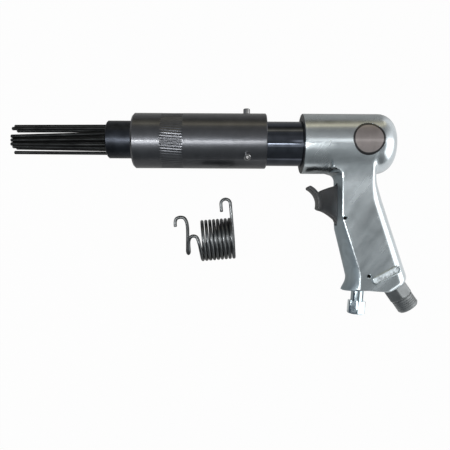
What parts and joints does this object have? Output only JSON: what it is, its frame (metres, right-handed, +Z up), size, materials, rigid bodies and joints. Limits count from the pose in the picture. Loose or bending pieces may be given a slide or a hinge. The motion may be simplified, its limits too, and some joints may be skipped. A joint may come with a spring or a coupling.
{
  "type": "pneumatic needle scaler",
  "caption": "Pistol-grip pneumatic needle scaler with a cast handle, dark needle head, trigger, air regulator and inlet, and a loose chisel retainer spring.",
  "frame": {"origin": "centre of the bottom of the bounding box, on the bench that the tool lies on", "axes": "+X along the barrel from the needle tips to the back of the head, +Y from the grip up to the barrel, +Z up from the bench through the tool's left side"},
  "size_m": [0.3544, 0.18, 0.0525],
  "materials": {
    "cast_aluminium": "polished casting",
    "black_steel": "black oxide, satin",
    "barrel_steel": "blued, glossy",
    "needle_steel": "dark drawn wire",
    "trigger_black": "black, semi-gloss",
    "spring_steel": "dark oiled wire",
    "inlet_steel": "dark turned steel",
    "bright_steel": "ground",
    "label": "bare silver disc with a dark ring",
    "brass": "turned",
    "seal": "matt"
  },
  "bodies": {
    "gun": {"handle": "cast_aluminium", "side_badge": "label", "barrel": "barrel_steel", "valve_case": "bright_steel", "valve_back_plate": "bright_steel", "valve_dowel": "bright_steel", "needle_housing": "black_steel", "set_screws": "black_steel", "nozzle": "barrel_steel", "needle_spring": "spring_steel", "trigger_pin": "inlet_steel", "throttle_bush": "brass", "throttle_seat": "brass", "throttle_spring": "spring_steel", "regulator_pin": "inlet_steel", "inlet_bushing": "inlet_steel", "inlet_screen": "bright_steel"},
    "trigger": {"trigger": "trigger_black"},
    "throttle_valve": {"throttle_valve": "bright_steel", "throttle_seal": "seal"},
    "regulator": {"air_regulator": "bright_steel", "regulator_seal": "seal"},
    "piston": {"piston": "bright_steel"},
    "valve_disc": {"valve_disc": "bright_steel"},
    "needle_pack": {"needle_holder": "bright_steel", "needles": "needle_steel"},
    "anvil": {"anvil": "bright_steel"},
    "retainer_spring": {"retainer_spring": "spring_steel"}
  },
  "joints": [
    {"name": "trigger_pull", "type": "hinge", "parent": "gun", "child": "trigger", "pos_m": [0.1097, -0.00564, 0.0261], "axis": [0, 0, -1], "range_deg": [0, 10], "stiffness_Nm_per_rad": 0.3, "springref_deg": -8.59},
    {"name": "throttle_slide", "type": "slide", "parent": "gun", "child": "throttle_valve", "axis": [1, 0, 0], "range_m": [0, 0.0031], "deforming": ["throttle_spring"]},
    {"name": "regulator_turn", "type": "hinge", "parent": "gun", "child": "regulator", "pos_m": [0.1251, -0.06724, 0.0261], "axis": [0.0872, 0.9962, 0], "continuous": true},
    {"name": "piston_stroke", "type": "slide", "parent": "gun", "child": "piston", "axis": [-1, 0, 0], "range_m": [0, 0.0585]},
    {"name": "valve_disc_lift", "type": "slide", "parent": "gun", "child": "valve_disc", "axis": [-1, 0, 0], "range_m": [0, 0.001]},
    {"name": "needle_stroke", "type": "slide", "parent": "gun", "child": "needle_pack", "axis": [-1, 0, 0], "range_m": [0, 0.008], "stiffness_N_per_m": 2000, "springref_m": -0.004, "deforming": ["needle_spring"]},
    {"name": "anvil_stroke", "type": "slide", "parent": "gun", "child": "anvil", "axis": [-1, 0, 0], "range_m": [0, 0.008]},
    {"name": "retainer_lift", "type": "slide", "parent": "gun", "child": "retainer_spring", "axis": [0, 0, 1], "range_m": [0, 0.06]}
  ],
  "couplings": [
    {"joint": "throttle_slide", "follows": "trigger_pull", "m_per_rad": 0.0175},
    {"joint": "anvil_stroke", "follows": "needle_stroke", "ratio": 1}
  ]
}
